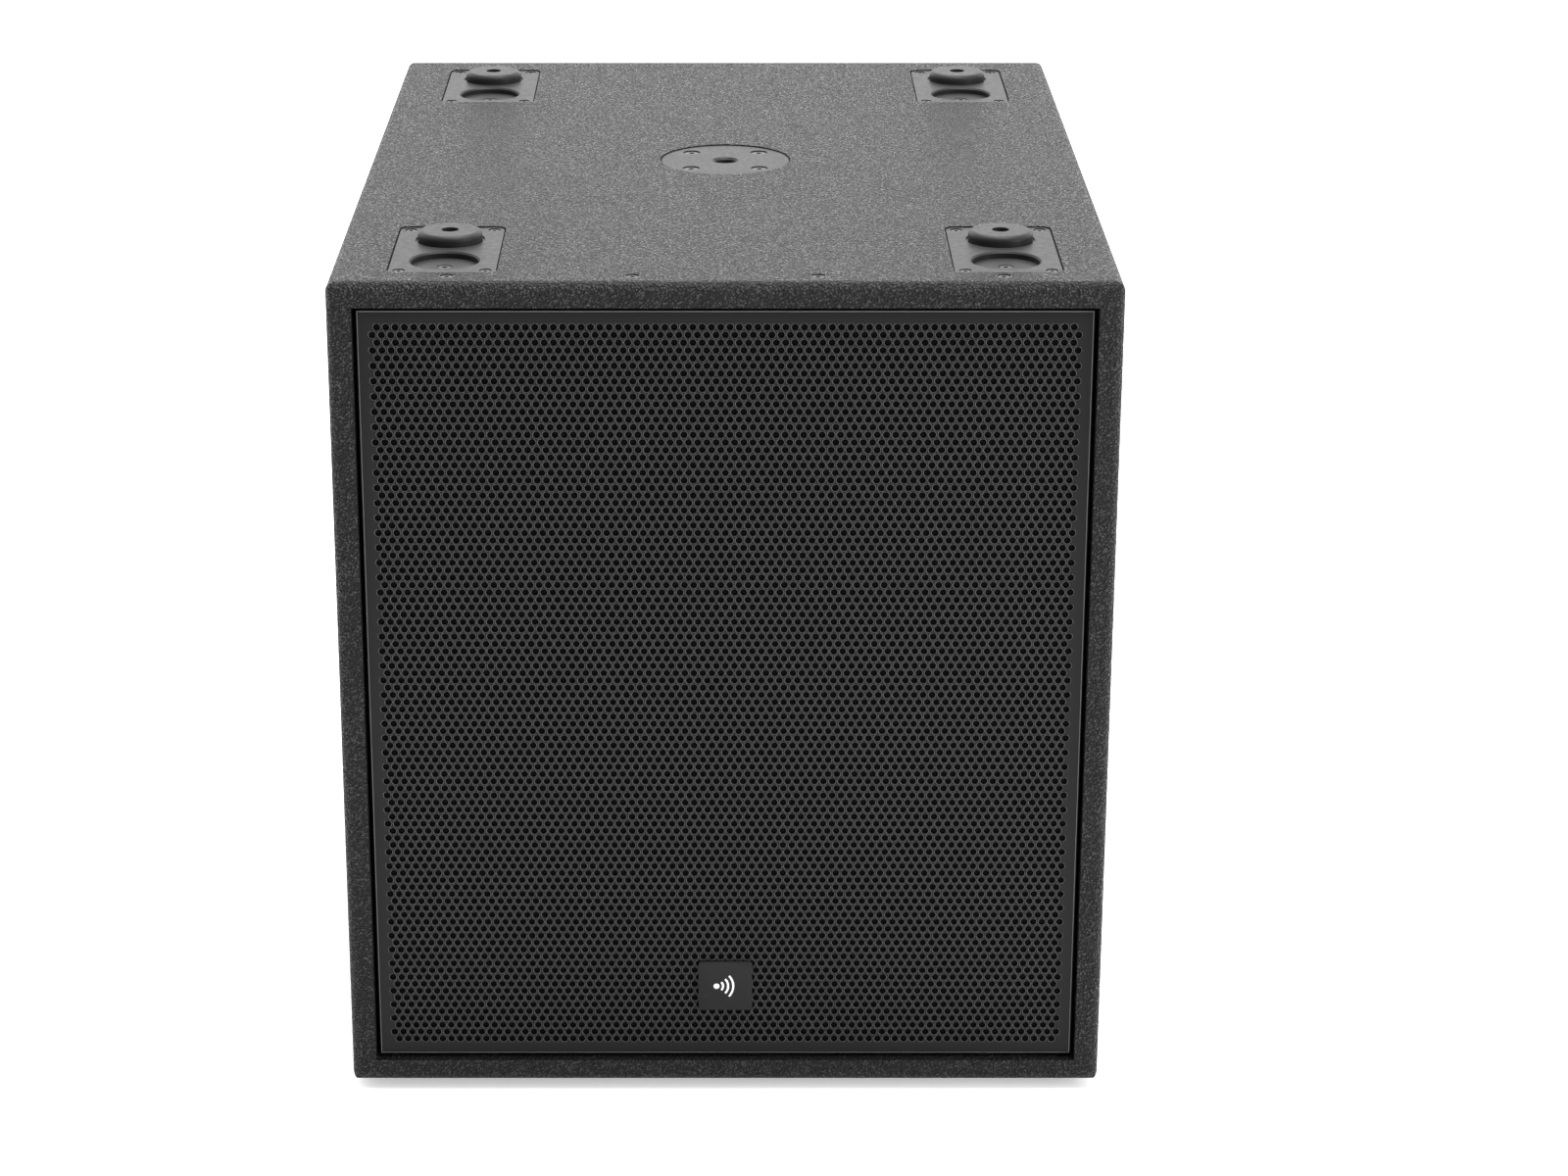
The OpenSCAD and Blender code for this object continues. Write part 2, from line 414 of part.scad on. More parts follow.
module voice_coil_former() color([0.75, 0.75, 0.76]) drv() difference() {
  translate([0, 0, -136]) cylinder(h = 78, r = coil_r);
  translate([0, 0, -137]) cylinder(h = 80, r = coil_r - 0.35);
}
module voice_coil() color([0.72, 0.45, 0.2]) drv() difference() {
  translate([0, 0, -133]) cylinder(h = 22, r = coil_r + 1.3);
  translate([0, 0, -134]) cylinder(h = 24, r = coil_r + 0.02);
}
module magnet_top_plate() color([0.3, 0.3, 0.3]) drv() difference() {
  translate([0, 0, -126]) cylinder(h = 8, r = 110);
  translate([0, 0, -127]) cylinder(h = 10, r = coil_r + 1.9);
}
module magnet_ring() color([0.15, 0.15, 0.16]) drv() difference() {
  translate([0, 0, -150]) cylinder(h = 24, r = 112);
  translate([0, 0, -151]) cylinder(h = 26, r = 62);
}
module magnet_yoke() color([0.3, 0.3, 0.3]) drv() difference() {
  union() { translate([0, 0, -160]) cylinder(h = 10, r = 108); translate([0, 0, -151]) cylinder(h = 33, r = coil_r - 1.1); }
  translate([0, 0, -161]) cylinder(h = 44, r = 14);
}
module driver_terminals() color([0.55, 0.1, 0.1]) drv() difference() {
  translate([-17, -141.5, -108]) cube([34, 22, 20]);
  translate([0, 0, -118]) cylinder(h = 40, r1 = 122, r2 = 131, $fn = 96); // sits on the basket's wall
}
module tinsel_leads() color([0.6, 0.45, 0.3]) drv() for (s = [-1, 1]) tube_along([for (q = lead_pts) [s * q[0], q[1], q[2]]], 1.2);
module driver_bolts() color([0.12, 0.12, 0.12]) drv() bolt_ring() translate([0, 0, 11.2]) pan_screw(5, 6, 3, 33, 2.5);
module driver_bolt_washers() color([0.5, 0.5, 0.5]) drv() bolt_ring() translate([0, 0, 10]) difference() { cylinder(h = 1.2, r = 6.2); translate([0, 0, -1]) cylinder(h = 4, r = 3.3); }
module driver_tee_nuts() color([0.6, 0.6, 0.58]) drv() bolt_ring() translate([0, 0, -ply - 1.5]) tee_nut(4.2, 3.1, 9);

top_panel();
bottom_panel();
side_panel(-1);  // left_side_panel
side_panel(1);  // right_side_panel
rear_panel();
front_baffle();
port_shelf();
port_divider();
window_brace();
grille_sheet();
grille_screws();
grille_screw_cups();
grille_rivet_nuts();
grille_foam();
grille_buffers();
badge_plate();
one_plate(-1, -1, true);  // stack_plate_top_front_left
one_plate(1, -1, true);  // stack_plate_top_front_right
one_plate(-1, 1, true);  // stack_plate_top_rear_left
one_plate(1, 1, true);  // stack_plate_top_rear_right
one_plate(-1, -1, false);  // stack_plate_bottom_front_left
one_plate(1, -1, false);  // stack_plate_bottom_front_right
one_plate(-1, 1, false);  // stack_plate_bottom_rear_left
one_plate(1, 1, false);  // stack_plate_bottom_rear_right
rim_screws(true);  // top_plate_rim_screws
foot_screws(true);  // top_plate_foot_screws
cup_screws(true);  // top_plate_cup_screws
rim_screws(false);  // bottom_plate_rim_screws
foot_screws(false);  // bottom_plate_foot_screws
cup_screws(false);  // bottom_plate_cup_screws
pole_flange();
pole_flange_screws();
pole_flange_tee_nuts();
handle(-1);  // left_handle
handle(1);  // right_handle
handle_screws();
connector_dish();
connector_dish_screws();
speaker_socket(1);  // speaker_socket_left
speaker_socket(-1);  // speaker_socket_right
socket_screws();
internal_cable();
driver_basket();
driver_rear_gasket();
driver_front_gasket();
driver_surround();
driver_spider();
driver_cone();
driver_dust_cap();
voice_coil_former();
voice_coil();
magnet_top_plate();
magnet_ring();
magnet_yoke();
driver_terminals();
tinsel_leads();
driver_bolts();
driver_bolt_washers();
driver_tee_nuts();
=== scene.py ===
import bpy, json, math
import numpy as np
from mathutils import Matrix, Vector


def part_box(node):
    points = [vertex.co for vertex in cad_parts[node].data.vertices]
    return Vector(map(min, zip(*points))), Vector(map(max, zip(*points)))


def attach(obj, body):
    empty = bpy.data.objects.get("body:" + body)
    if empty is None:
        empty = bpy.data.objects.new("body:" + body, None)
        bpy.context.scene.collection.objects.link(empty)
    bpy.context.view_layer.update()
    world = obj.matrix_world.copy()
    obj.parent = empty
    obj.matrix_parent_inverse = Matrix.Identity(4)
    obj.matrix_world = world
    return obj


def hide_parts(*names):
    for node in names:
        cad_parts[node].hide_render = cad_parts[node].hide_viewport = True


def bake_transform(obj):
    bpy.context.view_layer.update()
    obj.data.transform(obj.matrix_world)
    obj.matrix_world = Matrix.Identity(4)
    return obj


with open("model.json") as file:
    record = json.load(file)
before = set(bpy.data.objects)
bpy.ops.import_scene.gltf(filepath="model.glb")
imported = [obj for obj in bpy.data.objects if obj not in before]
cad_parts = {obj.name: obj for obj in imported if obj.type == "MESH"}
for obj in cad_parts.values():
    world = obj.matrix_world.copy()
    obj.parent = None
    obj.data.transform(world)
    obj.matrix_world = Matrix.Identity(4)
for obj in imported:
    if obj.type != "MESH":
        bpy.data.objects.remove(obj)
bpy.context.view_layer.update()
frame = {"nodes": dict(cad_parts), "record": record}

nodes = frame["nodes"]
scene = bpy.context.scene
CAB, MOV = "cabinet", "driver_moving_parts"

# ---------------------------------------------------------------- materials
class Mat:
    """A material built on Object coordinates, in metres, so a scale of 500 is a 2 mm cell."""
    def __init__(self, name, color=(0.03, 0.03, 0.03), rough=0.5, metal=0.0, spec=0.5, **sockets):
        self.m = bpy.data.materials.new(name)
        self.m.use_nodes = True
        self.t = self.m.node_tree
        self.b = self.t.nodes["Principled BSDF"]
        self.b.inputs["Base Color"].default_value = (*color, 1)
        self.b.inputs["Roughness"].default_value = rough
        self.b.inputs["Metallic"].default_value = metal
        self.b.inputs["Specular IOR Level"].default_value = spec
        for k, v in sockets.items():
            self.b.inputs[k.replace("_", " ")].default_value = v
        self.co = self.t.nodes.new("ShaderNodeTexCoord").outputs["Object"]
        self.normal = None
        self.m.diffuse_color = (*color, 1)

    def link(self, a, b):
        self.t.links.new(a, b)

    def noise(self, scale, detail=3, rough=0.5, stretch=None, dist=0.0):
        n = self.t.nodes.new("ShaderNodeTexNoise")
        n.inputs["Scale"].default_value = scale
        n.inputs["Detail"].default_value = detail
        n.inputs["Roughness"].default_value = rough
        n.inputs["Distortion"].default_value = dist
        self.link(self.stretched(stretch), n.inputs["Vector"])
        return n.outputs["Fac"]

    def voronoi(self, scale, feature="SMOOTH_F1", smooth=0.6, stretch=None):
        n = self.t.nodes.new("ShaderNodeTexVoronoi")
        n.feature = feature
        n.inputs["Scale"].default_value = scale
        if feature == "SMOOTH_F1":
            n.inputs["Smoothness"].default_value = smooth
        self.link(self.stretched(stretch), n.inputs["Vector"])
        return n.outputs["Distance"]

    def stretched(self, s):
        if not s:
            return self.co
        n = self.t.nodes.new("ShaderNodeMapping")
        n.inputs["Scale"].default_value = s
        self.link(self.co, n.inputs["Vector"])
        return n.outputs["Vector"]

    def ramp(self, fac, stops):
        n = self.t.nodes.new("ShaderNodeValToRGB")
        r = n.color_ramp
        while len(r.elements) < len(stops):
            r.elements.new(0.5)
        for e, (p, c) in zip(r.elements, stops):
            e.position = p
            e.color = (*c, 1) if hasattr(c, "__len__") else (c, c, c, 1)
        self.link(fac, n.inputs["Fac"])
        return n.outputs["Color"]

    def mix(self, a, b, op="ADD", k=None):
        n = self.t.nodes.new("ShaderNodeMath")
        n.operation = op
        self.link(a, n.inputs[0])
        if b is None:
            n.inputs[1].default_value = k
        else:
            self.link(b, n.inputs[1])
        return n.outputs[0]

    def bump(self, height, strength, dist):
        n = self.t.nodes.new("ShaderNodeBump")
        n.inputs["Strength"].default_value = strength
        n.inputs["Distance"].default_value = dist
        self.link(height, n.inputs["Height"])
        if self.normal is not None:
            self.link(self.normal, n.inputs["Normal"])
        self.normal = n.outputs["Normal"]
        self.link(self.normal, self.b.inputs["Normal"])
        return self

    def color(self, fac, stops):
        self.link(self.ramp(fac, stops), self.b.inputs["Base Color"])
        return self

    def rough(self, fac, stops):
        self.link(self.ramp(fac, stops), self.b.inputs["Roughness"])
        return self


def grey(v, tint=(1, 1, 1.02)):
    return tuple(v * t for t in tint)


def coating():
    # structured paint: a skin of small rounded lumps under 2 mm across, glossier on top; the colour is a painted
    # highlight, paler on the lump tops as glints and darker towards the valleys
    m = Mat("coating_textured_black", grey(0.020), 0.45, spec=0.27)
    lumps = m.mix(m.voronoi(580, smooth=0.35), None, "MULTIPLY", -1.1)
    waves = m.noise(420, 4, 0.6)
    fine = m.noise(1700, 3, 0.6)
    height = m.mix(lumps, waves, "ADD")
    painted_glint_height = m.mix(height, None, "ADD", 0.5)
    m.bump(height, 1.0, 0.0027)
    m.bump(fine, 0.5, 0.00035)
    # painted highlight: the lump tops are coloured paler to stand in for glints, the valleys darker
    m.color(painted_glint_height, [(0.42, grey(0.003)), (0.62, grey(0.009)), (0.76, grey(0.055))])
    m.rough(painted_glint_height, [(0.46, 0.60), (0.76, 0.12)])
    return m.m


def powder(name, v=0.03, grain=1600, strength=0.2, r=(0.38, 0.52), spec=0.5):
    m = Mat(name, grey(v), 0.45, spec=spec)
    m.bump(m.noise(grain, 3), strength, 0.00025)
    m.color(m.noise(60, 3), [(0.3, grey(v * 0.85)), (0.7, grey(v * 1.2))])
    m.rough(m.noise(300, 2), [(0.3, r[0]), (0.7, r[1])])
    return m.m


def grille_paint():
    # thin satin powder, coloured paler on the punched edge round each hole and along the start of the fold: a painted
    # highlight where the light catches them
    m = Mat("grille_powder_black", grey(0.004), 0.45, spec=0.20)
    m.bump(m.noise(2200, 3), 0.12, 0.00025)
    sep = m.t.nodes.new("ShaderNodeSeparateXYZ")
    m.link(m.co, sep.inputs[0])
    depth = m.mix(m.mix(sep.outputs["Y"], None, "SUBTRACT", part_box("grille_sheet")[0].y), None, "MULTIPLY", 1000.0)
    # painted highlight: colour keyed to depth behind the flat face, paler on the lips and the start of the fold
    painted_highlight_edge = m.mix(depth, m.mix(m.noise(900, 3), None, "MULTIPLY", 0.02), "ADD")
    m.color(painted_highlight_edge, [(0.02, grey(0.004)), (0.05, grey(0.23)), (0.12, grey(0.12)), (0.18, grey(0.003))])
    m.rough(painted_highlight_edge, [(0.02, 0.42), (0.06, 0.24), (0.24, 0.30), (0.34, 0.55)])
    return m.m


def plastic(name, v=0.03, grain=2600, strength=0.25, r=(0.42, 0.55), tint=(1, 1, 1.02), spec=0.5):
    m = Mat(name, grey(v, tint), 0.5, spec=spec)
    m.bump(m.voronoi(grain, smooth=1.0), strength, 0.00012)
    m.color(m.noise(45, 4), [(0.3, grey(v * 0.9, tint)), (0.7, grey(v * 1.12, tint))])
    m.rough(m.noise(220, 3), [(0.3, r[0]), (0.7, r[1])])
    return m.m


def metal(name, color, r=(0.28, 0.42), grain=(1, 1, 1), scale=900, strength=0.15, metallic=1.0):
    m = Mat(name, color, 0.35, metal=metallic)
    m.bump(m.noise(scale, 3, stretch=grain), strength, 0.0001)
    m.color(m.noise(120, 4), [(0.3, tuple(c * 0.85 for c in color)), (0.7, tuple(min(1, c * 1.08) for c in color))])
    m.rough(m.noise(scale / 2, 2, stretch=grain), [(0.3, r[0]), (0.7, r[1])])
    return m.m


def plywood():
    m = Mat("plywood_birch", (0.55, 0.38, 0.22), 0.6)
    g = m.noise(90, 6, 0.6, stretch=(0.12, 3.0, 3.0), dist=1.2)
    m.color(g, [(0.3, (0.42, 0.27, 0.14)), (0.5, (0.58, 0.41, 0.25)), (0.7, (0.66, 0.50, 0.32))])
    m.bump(g, 0.2, 0.0003)
    m.rough(m.noise(200, 3), [(0.3, 0.52), (0.7, 0.7)])
    return m.m


def cloth(name, v, color=None, scale=1100):
    c = color or grey(v)
    m = Mat(name, c, 0.8, Sheen_Weight=0.15)
    a = m.t.nodes.new("ShaderNodeTexWave"); a.wave_type = "BANDS"; a.bands_direction = "X"
    b = m.t.nodes.new("ShaderNodeTexWave"); b.wave_type = "BANDS"; b.bands_direction = "Z"
    for w in (a, b):
        w.inputs["Scale"].default_value = scale / 2.5
        w.inputs["Distortion"].default_value = 0.6
        m.link(m.co, w.inputs["Vector"])
    m.bump(m.mix(a.outputs["Fac"], b.outputs["Fac"], "MULTIPLY"), 0.45, 0.0003)
    m.color(m.noise(150, 4), [(0.3, tuple(x * 0.8 for x in c)), (0.7, tuple(x * 1.15 for x in c))])
    m.rough(m.noise(400, 2), [(0.3, 0.7), (0.7, 0.9)])
    return m.m


def paper():
    m = Mat("cone_pulp", grey(0.022), 0.75)
    m.bump(m.noise(700, 6, 0.7, dist=1.5), 0.5, 0.0004)
    m.color(m.noise(250, 6, 0.7), [(0.3, grey(0.014)), (0.7, grey(0.036))])
    m.rough(m.noise(90, 3), [(0.3, 0.65), (0.7, 0.85)])
    return m.m


def foam(name, v, scale=1500, spec=0.25):
    m = Mat(name, grey(v), 0.9, spec=spec)
    m.bump(m.voronoi(scale, "F1"), 0.7, 0.0004)
    m.color(m.noise(500, 4), [(0.3, grey(v * 0.75)), (0.7, grey(v * 1.2))])
    m.rough(m.noise(300, 2), [(0.3, 0.82), (0.7, 0.95)])
    return m.m


MATS = {
    "coated_plywood": coating(),
    "bare_plywood": plywood(),
    "grille_coating": grille_paint(),
    "stack_plate_plastic": plastic("plate_plastic", 0.022, 2200, 0.16, (0.36, 0.46), spec=0.13),
    "black_screws": metal("screws_black", (0.085, 0.085, 0.088), (0.32, 0.44), metallic=1.0),
    "zinc_steel": metal("zinc_steel", (0.62, 0.62, 0.60)),
    "foam_grey": foam("buffer_foam", 0.20),
    # painted shade: the grille foam is coloured far darker than black foam, with little specular, so the holes in front
    # of it read black
    "foam_black": foam("grille_foam_black", 0.0025, 900, 0.05),
    "badge_black": plastic("badge_body", 0.012, 3000, 0.05, (0.2, 0.28), spec=0.16),
    "flange_coating": powder("flange_powder", 0.026, 1800, 0.18, (0.40, 0.50), 0.17),
    "handle_plastic": plastic("handle_plastic", 0.022, 1500, 0.4, (0.45, 0.6)),
    "cable_rubber": foam("cable_jacket", 0.03, 900),
    "gasket_rubber": foam("gasket_rubber", 0.02, 1800),
    "surround_cloth": cloth("surround_cloth", 0.022),
    "spider_cloth": cloth("spider_cloth", 0, (0.45, 0.29, 0.11), 1400),
    "cone_paper": paper(),
    "former_aluminium": metal("former_aluminium", (0.78, 0.78, 0.79), grain=(1, 8, 1)),
    "coil_copper": metal("coil_copper", (0.72, 0.36, 0.14), grain=(1, 12, 1), scale=1500),
    "motor_steel": metal("motor_steel", (0.10, 0.10, 0.11), (0.35, 0.5)),
    "ferrite": foam("ferrite", 0.07, 2500),
    "terminal_red": plastic("terminal_red", 0.25, 2600, 0.15, tint=(1.4, 0.08, 0.08)),
    "braid_copper": metal("braid_copper", (0.70, 0.45, 0.25), scale=3000, strength=0.5),
}
slots = {s["node"]: s["material_slot"] for s in frame["record"]["subparts"]}


def dress(o, slot):
    o.data.materials.clear()
    o.data.materials.append(MATS[slot])


for n, o in nodes.items():
    dress(o, slots[n])


# ---------------------------------------------------------------- mesh helpers
def piece(name, verts, faces, slot, body=CAB, smooth=False, replaces=()):
    me = bpy.data.meshes.new(name)
    me.from_pydata([tuple(v) for v in verts], [], [tuple(int(i) for i in f) for f in faces])
    me.validate()
    o = bpy.data.objects.new(name, me)
    scene.collection.objects.link(o)
    me.materials.append(MATS[slot])
    me.polygons.foreach_set("use_smooth", [smooth] * len(me.polygons))
    if body:
        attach(o, body)
    if replaces:
        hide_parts(*replaces)
    return o


class Grid:
    """Collects vertices by position, so that neighbouring cells share them."""
    def __init__(self):
        self.key, self.v, self.f = {}, [], []

    def at(self, x, y, z):
        k = (round(x * 1e6), round(y * 1e6), round(z * 1e6))
        if k not in self.key:
            self.key[k] = len(self.v)
            self.v.append((x, y, z))
        return self.key[k]


# ---------------------------------------------------------------- perforated grille, in four bands of one sheet
g_lo, g_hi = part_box("grille_sheet")
T, P, R = 0.0012, 0.0065, 0.0025
Hr = P * math.sqrt(3) / 2
ROWS = 99
GX = (g_hi.x - g_lo.x) / 2
GZ = (g_hi.z - g_lo.z) / 2
GC = (g_hi.z + g_lo.z) / 2
Y0, Y1 = g_lo.y, g_hi.y
BR = 0.002                      # radius of the fold
XM, ZM = GX - BR, GZ - BR
LIP, LIP_D = 0.00044, 0.00030     # the rolled edge that the punch leaves round each hole
CIRC = [(R * math.cos(k * math.pi / 6), R * math.sin(k * math.pi / 6)) for k in range(12)]
EDGE = [((R + LIP) * math.cos(k * math.pi / 6), max(-0.00273, min(0.00273, (R + LIP) * math.sin(k * math.pi / 6)))) for k in range(12)]
RING = [(P / 2, 0), (P / 2, Hr / 2), (P / 4, Hr / 2), (0, Hr / 2), (-P / 4, Hr / 2), (-P / 2, Hr / 2),
        (-P / 2, 0), (-P / 2, -Hr / 2), (-P / 4, -Hr / 2), (0, -Hr / 2), (P / 4, -Hr / 2), (P / 2, -Hr / 2)]


def row_holes(i):
    wide = i % 2 == 1
    n = 77 if wide else 76
    return [(k - (n - 1) / 2) * P for k in range(n)]


def band(name, first, last, replaces=()):
    """Rows first to last-1. The sheet's outline runs round the band; its cut edges close the solid."""
    g = Grid()
    ya, yb_ = Y0, Y0 + T
    zrow = lambda i: GC + (i - (ROWS - 1) / 2) * Hr
    zb0, zb1 = zrow(first) - Hr / 2, zrow(last - 1) + Hr / 2
    lowest, highest = first == 0, last == ROWS
    front, back = [], []

    def both(pts):                 # pts in x, z, anticlockwise seen from the front (-Y)
        front.append([g.at(x, ya, z) for x, z in pts])
        back.append([g.at(x, yb_, z) for x, z in reversed(pts)])

    for i in range(first, last):
        zc = zrow(i)
        xs = row_holes(i)
        for xc in xs:
            for k in range(12):
                k2 = (k + 1) % 12
                a = (xc + CIRC[k][0], zc + CIRC[k][1]); b = (xc + CIRC[k2][0], zc + CIRC[k2][1])
                c = (xc + RING[k2][0], zc + RING[k2][1]); d = (xc + RING[k][0], zc + RING[k][1])
                a2 = (xc + EDGE[k][0], zc + EDGE[k][1]); b2 = (xc + EDGE[k2][0], zc + EDGE[k2][1])
                front.append([g.at(x, ya, z) for x, z in (a2, d, c, b2)])
                back.append([g.at(x, yb_, z) for x, z in (b, c, d, a)])
                g.f.append((g.at(a2[0], ya, a2[1]), g.at(b2[0], ya, b2[1]), g.at(b[0], ya + LIP_D, b[1]), g.at(a[0], ya + LIP_D, a[1])))
                g.f.append((g.at(a[0], ya + LIP_D, a[1]), g.at(b[0], ya + LIP_D, b[1]), g.at(b[0], yb_, b[1]), g.at(a[0], yb_, a[1])))
        edge = xs[-1] + P / 2
        narrow = i % 2 == 0
        for s in (1, -1):
            def zig(z):            # points between the row's end and the margin, on a row boundary
                if not narrow:
                    return [(s * edge, z)]
                return [(s * (edge + q * P / 4), z) for q in range(3)]
            lo = zig(zc - Hr / 2); hi = zig(zc + Hr / 2)
            low = lo + [(s * XM, zc - Hr / 2), (s * XM, zc), (s * edge, zc)]
            top = [(s * edge, zc), (s * XM, zc), (s * XM, zc + Hr / 2)] + hi[::-1]
            for poly in (low, top):
                both(poly if s > 0 else poly[::-1])
    # top and bottom margins
    qs = [q * P / 4 for q in range(-4 * 38 - 2, 4 * 38 + 3)]     # to +-38.5 pitches
    qs = [-XM] + qs + [XM]
    for is_edge, z, zo in ((lowest, zb0, GC - ZM), (highest, zb1, GC + ZM)):
        if is_edge:
            for a, b in zip(qs, qs[1:]):
                both([(a, min(z, zo)), (b, min(z, zo)), (b, max(z, zo)), (a, max(z, zo))])
    g.f += front + back
    # rim: outline of the flat, walked anticlockwise seen from the front
    z_lo = GC - ZM if lowest else zb0
    z_hi = GC + ZM if highest else zb1
    side = sorted({round(z, 7): z for i in range(first, last) for z in (zrow(i) - Hr / 2, zrow(i), zrow(i) + Hr / 2)}.values())
    side = [z for z in ([z_lo] if lowest else []) + side + ([z_hi] if highest else [])]
    walk = [(XM, z) for z in side]
    if highest:
        walk += [(x, z_hi) for x in reversed(qs[1:-1])] + []
    left = [(-XM, z) for z in reversed(side)]
    runs = []
    bottom = [(x, z_lo) for x in qs[1:-1]]
    if highest and lowest:
        runs = [(walk + left + bottom, True)]
    elif highest:
        runs = [(walk + left, False)]
    elif lowest:
        runs = [(left + bottom + walk, False)]
    else:
        runs = [(walk, False), (left, False)]
    prof = [(BR * math.sin(a), BR * (1 - math.cos(a))) for a in [k * math.pi / 10 for k in range(6)]] + [(BR, Y1 - Y0)]
    ri = BR - T
    inner = [(BR - T, Y1 - Y0)] + [(ri * math.sin(a), BR - ri * math.cos(a)) for a in [k * math.pi / 10 for k in range(5, -1, -1)]]
    # the inner bend starts at the back of the flat, T behind the front
    loop = prof + inner

    def out(p, o, y):
        x, z = p
        ox = o if x >= XM - 1e-7 else (-o if x <= -XM + 1e-7 else 0)
        oz = (o if z >= GC + ZM - 1e-7 else 0) if highest else 0
        if lowest and z <= GC - ZM + 1e-7:
            oz = -o
        return (x + ox, Y0 + y, z + oz)

    for run, closed in runs:
        n = len(run)
        pairs = [(k, (k + 1) % n) for k in range(n if closed else n - 1)]
        for a, b in pairs:
            for (o1, y1), (o2, y2) in zip(loop, loop[1:]):
                q = [g.at(*out(run[a], o1, y1)), g.at(*out(run[a], o2, y2)), g.at(*out(run[b], o2, y2)), g.at(*out(run[b], o1, y1))]
                if len(set(q)) >= 3:
                    g.f.append(tuple(dict.fromkeys(q)))
        if not closed:             # cap the cut ends of the rim
            for k, rev in ((0, False), (n - 1, True)):
                cap = list(dict.fromkeys(g.at(*out(run[k], o, y)) for o, y in loop))
                g.f.append(tuple(cap[::-1] if rev else cap))
    # close the cut faces through the flat
    for is_edge, z, i in ((lowest, zb0, first), (highest, zb1, last - 1)):
        if not is_edge:
            for a, b in zip(qs, qs[1:]):
                q = [g.at(a, ya, z), g.at(b, ya, z), g.at(b, yb_, z), g.at(a, yb_, z)]
                g.f.append(tuple(q))
    o = piece(name, g.v, g.f, "grille_coating", replaces=replaces)
    import bmesh
    bm = bmesh.new(); bm.from_mesh(o.data)
    bmesh.ops.recalc_face_normals(bm, faces=bm.faces)
    for e in bm.edges:
        e.smooth = len(e.link_faces) == 2 and e.calc_face_angle(0) < math.radians(40)
    for f in bm.faces:
        f.smooth = True
    open_edges = sum(1 for e in bm.edges if len(e.link_faces) != 2)
    bm.to_mesh(o.data); bm.free()
    print(name, len(o.data.polygons), "faces,", open_edges, "edges without two faces")
    return o


for k, (first, last) in enumerate(((0, 25), (25, 50), (50, 75), (75, 99))):
    band(f"grille_perforated_{k + 1}", first, last, ("grille_sheet",))

# ---------------------------------------------------------------- badge mark: a dot and three arcs, in silver
MATS["badge_silver"] = metal("badge_silver", (0.75, 0.75, 0.76), (0.2, 0.32), grain=(6, 1, 1))
b_lo, b_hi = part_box("badge_plate")
bc = (b_lo + b_hi) / 2


def arc_strip(cx, cz, r0, r1, a0, a1, n, y_face, h, bev):
    v, f = [], []
    prof = [(r0, 0), (r0, h - bev), (r0 + bev, h), (r1 - bev, h), (r1, h - bev), (r1, 0)]
    for k in range(n + 1):
        a = a0 + (a1 - a0) * k / n
        for r, d in prof:
            v.append((cx + r * math.cos(a), y_face - d, cz + r * math.sin(a)))
    m = len(prof)
    for k in range(n):
        for j in range(m):
            j2 = (j + 1) % m
            f.append((k * m + j, (k + 1) * m + j, (k + 1) * m + j2, k * m + j2))
    f.append(tuple(range(m))); f.append(tuple(reversed(range(n * m, n * m + m))))
    return v, f


V, F = [], []
face_y = b_lo.y + 0.00032                # the mark stays inside the badge's own box
for r0, r1 in ((0.0040, 0.0056), (0.0078, 0.0094), (0.0116, 0.0132)):
    v, f = arc_strip(bc.x - 0.0065, bc.z, r0, r1, -math.radians(42), math.radians(42), 24, face_y, 0.00030, 0.00010)
    F += [tuple(i + len(V) for i in q) for q in f]; V += v
v, f = [], []
for ring, (r, d) in enumerate(((0.0022, 0), (0.0022, 0.0002), (0.0019, 0.0003))):
    for k in range(32):
        a = 2 * math.pi * k / 32
        v.append((bc.x - 0.0065 + r * math.cos(a), face_y - d, bc.z + r * math.sin(a)))
for ring in range(2):
    for k in range(32):
        k2 = (k + 1) % 32
        f.append((ring * 32 + k, (ring + 1) * 32 + k, (ring + 1) * 32 + k2, ring * 32 + k2))
f.append(tuple(range(64, 96))); f.append(tuple(reversed(range(32))))
F += [tuple(i + len(V) for i in q) for q in f]; V += v
# badge body: a shallow pan with a soft edge, its face 0.3 mm back so that the mark can stand on it
def rounded(w, h, r, n=8):
    pts = []
    for cx, cz, a0 in ((w - r, h - r, 0), (-w + r, h - r, 90), (-w + r, -h + r, 180), (w - r, -h + r, 270)):
        for k in range(n + 1):
            a = math.radians(a0 + 90 * k / n)
            pts.append((cx + r * math.cos(a), cz + r * math.sin(a)))
    return pts


hw = (b_hi.x - b_lo.x) / 2
rings = [(0.0, 0.0025, b_hi.y - 0.0009 + 0.0), (0.0, 0.0025, face_y + 0.0006), (0.00018, 0.0024, face_y + 0.00018), (0.0006, 0.0021, face_y)]
bv, bf = [], []
for inset, r, y in rings:
    bv += [(bc.x + x, y, bc.z + z) for x, z in rounded(hw - inset, hw - inset, r)]
m = 36
for k in range(len(rings) - 1):
    for j in range(m):
        j2 = (j + 1) % m
        bf.append((k * m + j, (k + 1) * m + j, (k + 1) * m + j2, k * m + j2))
bf.append(tuple(range((len(rings) - 1) * m, len(rings) * m)))
bf.append(tuple(reversed(range(m))))


def clean(o, angle=35, smooth=True):
    import bmesh
    bm = bmesh.new(); bm.from_mesh(o.data)
    bmesh.ops.recalc_face_normals(bm, faces=bm.faces)
    for e in bm.edges:
        e.smooth = len(e.link_faces) == 2 and e.calc_face_angle(0) < math.radians(angle)
    for q in bm.faces:
        q.smooth = smooth
    bm.to_mesh(o.data); bm.free()
    return o


